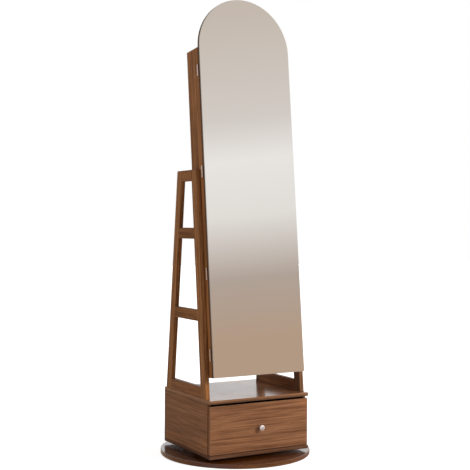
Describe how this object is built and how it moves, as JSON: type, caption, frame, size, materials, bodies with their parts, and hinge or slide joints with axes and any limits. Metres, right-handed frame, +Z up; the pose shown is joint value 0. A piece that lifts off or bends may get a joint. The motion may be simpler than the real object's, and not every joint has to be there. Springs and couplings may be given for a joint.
{
  "type": "rotating jewelry armoire",
  "caption": "Full-length arched mirror door on a shallow leaning jewelry cabinet, held between ladder side frames over a drawer box that turns on a round base.",
  "frame": {"origin": "centre of the round base's underside, on the floor", "axes": "+Z up, -Y towards the user who faces the mirror, +X to that user's right"},
  "size_m": [0.5299, 0.53, 1.5996],
  "materials": {
    "walnut_laminate": "satin walnut laminate with a fine straight grain",
    "walnut_gloss": "glossy walnut laminate with a fine straight grain",
    "mirror": "polished silvered glass",
    "velvet": "short dark velvet pile",
    "drawer_foil": "matt dark foil with a fine linen texture",
    "hinge_steel": "nickel-plated pressed steel",
    "zinc_steel": "zinc-plated rolled steel",
    "hook_chrome": "bright chrome wire",
    "knob_chrome": "bright chrome",
    "crystal": "clear cut crystal with sharp facets",
    "clear_acrylic": "clear acrylic angle",
    "black_plastic": "matt black moulded plastic",
    "pad_rubber": "matt non-slip rubber"
  },
  "bodies": {
    "base": {"base_disc": "walnut_gloss", "foot_pads": "pad_rubber", "turntable_lower_plate": "zinc_steel", "turntable_base_screws": "zinc_steel"},
    "carcase": {"turntable_upper_plate": "zinc_steel", "turntable_box_screws": "zinc_steel", "bottom_board": "walnut_laminate", "top_board": "walnut_gloss", "box_side_left": "walnut_laminate", "box_side_right": "walnut_laminate", "box_back": "walnut_laminate", "carcase_screws": "zinc_steel", "runner_channels": "zinc_steel", "front_leg_left": "walnut_laminate", "front_leg_right": "walnut_laminate", "back_leg_left": "walnut_laminate", "back_leg_right": "walnut_laminate", "top_rail_left": "walnut_laminate", "top_rail_right": "walnut_laminate", "upper_rung_left": "walnut_laminate", "upper_rung_right": "walnut_laminate", "lower_rung_left": "walnut_laminate", "lower_rung_right": "walnut_laminate", "foot_rail_left": "walnut_laminate", "foot_rail_right": "walnut_laminate", "cabinet_side_left": "walnut_laminate", "cabinet_side_right": "walnut_laminate", "cabinet_top": "walnut_laminate", "cabinet_bottom": "walnut_laminate", "cabinet_back": "walnut_laminate", "back_lining": "velvet", "cabinet_bolts": "zinc_steel", "cabinet_spacers": "black_plastic", "shelf_lower": "walnut_laminate", "shelf_upper": "walnut_laminate", "shelf_rails": "walnut_laminate", "ring_cushion": "velvet", "necklace_rail": "walnut_laminate", "necklace_hooks": "hook_chrome", "bracelet_bar": "velvet", "hinge_cabinet_leaves": "hinge_steel", "hinge_pins": "hinge_steel", "magnetic_catch": "black_plastic"},
    "door": {"door_board": "walnut_laminate", "mirror_glass": "mirror", "hinge_door_leaves": "hinge_steel", "strike_plate": "hinge_steel", "earring_bars": "clear_acrylic"},
    "drawer": {"drawer_front": "walnut_laminate", "drawer_side_left": "drawer_foil", "drawer_side_right": "drawer_foil", "drawer_back": "drawer_foil", "drawer_bottom": "drawer_foil", "knob_crystal": "crystal", "knob_collar": "knob_chrome", "knob_screw": "zinc_steel", "runner_sliders": "zinc_steel"},
    "runner_cage": {"runner_cages": "zinc_steel", "runner_balls": "zinc_steel"},
    "bearing_balls": {"turntable_balls": "zinc_steel"}
  },
  "joints": [
    {"name": "base_swivel", "type": "hinge", "parent": "base", "child": "carcase", "pos_m": [0, 0, 0.0215], "axis": [0, 0, 1], "continuous": true},
    {"name": "ball_ring_turn", "type": "hinge", "parent": "base", "child": "bearing_balls", "pos_m": [0, 0, 0.0215], "axis": [0, 0, 1], "continuous": true},
    {"name": "drawer_slide", "type": "slide", "parent": "carcase", "child": "drawer", "axis": [0, -1, 0], "range_m": [0, 0.2]},
    {"name": "runner_cage_slide", "type": "slide", "parent": "carcase", "child": "runner_cage", "axis": [0, -1, 0], "range_m": [0, 0.1]},
    {"name": "door_hinge", "type": "hinge", "parent": "carcase", "child": "door", "pos_m": [-0.1832, -0.15978, 0.29563], "axis": [0, -0.1045, -0.9945], "range_deg": [0, 170]}
  ],
  "couplings": [
    {"joint": "ball_ring_turn", "follows": "base_swivel", "ratio": 0.5},
    {"joint": "runner_cage_slide", "follows": "drawer_slide", "ratio": 0.5}
  ]
}
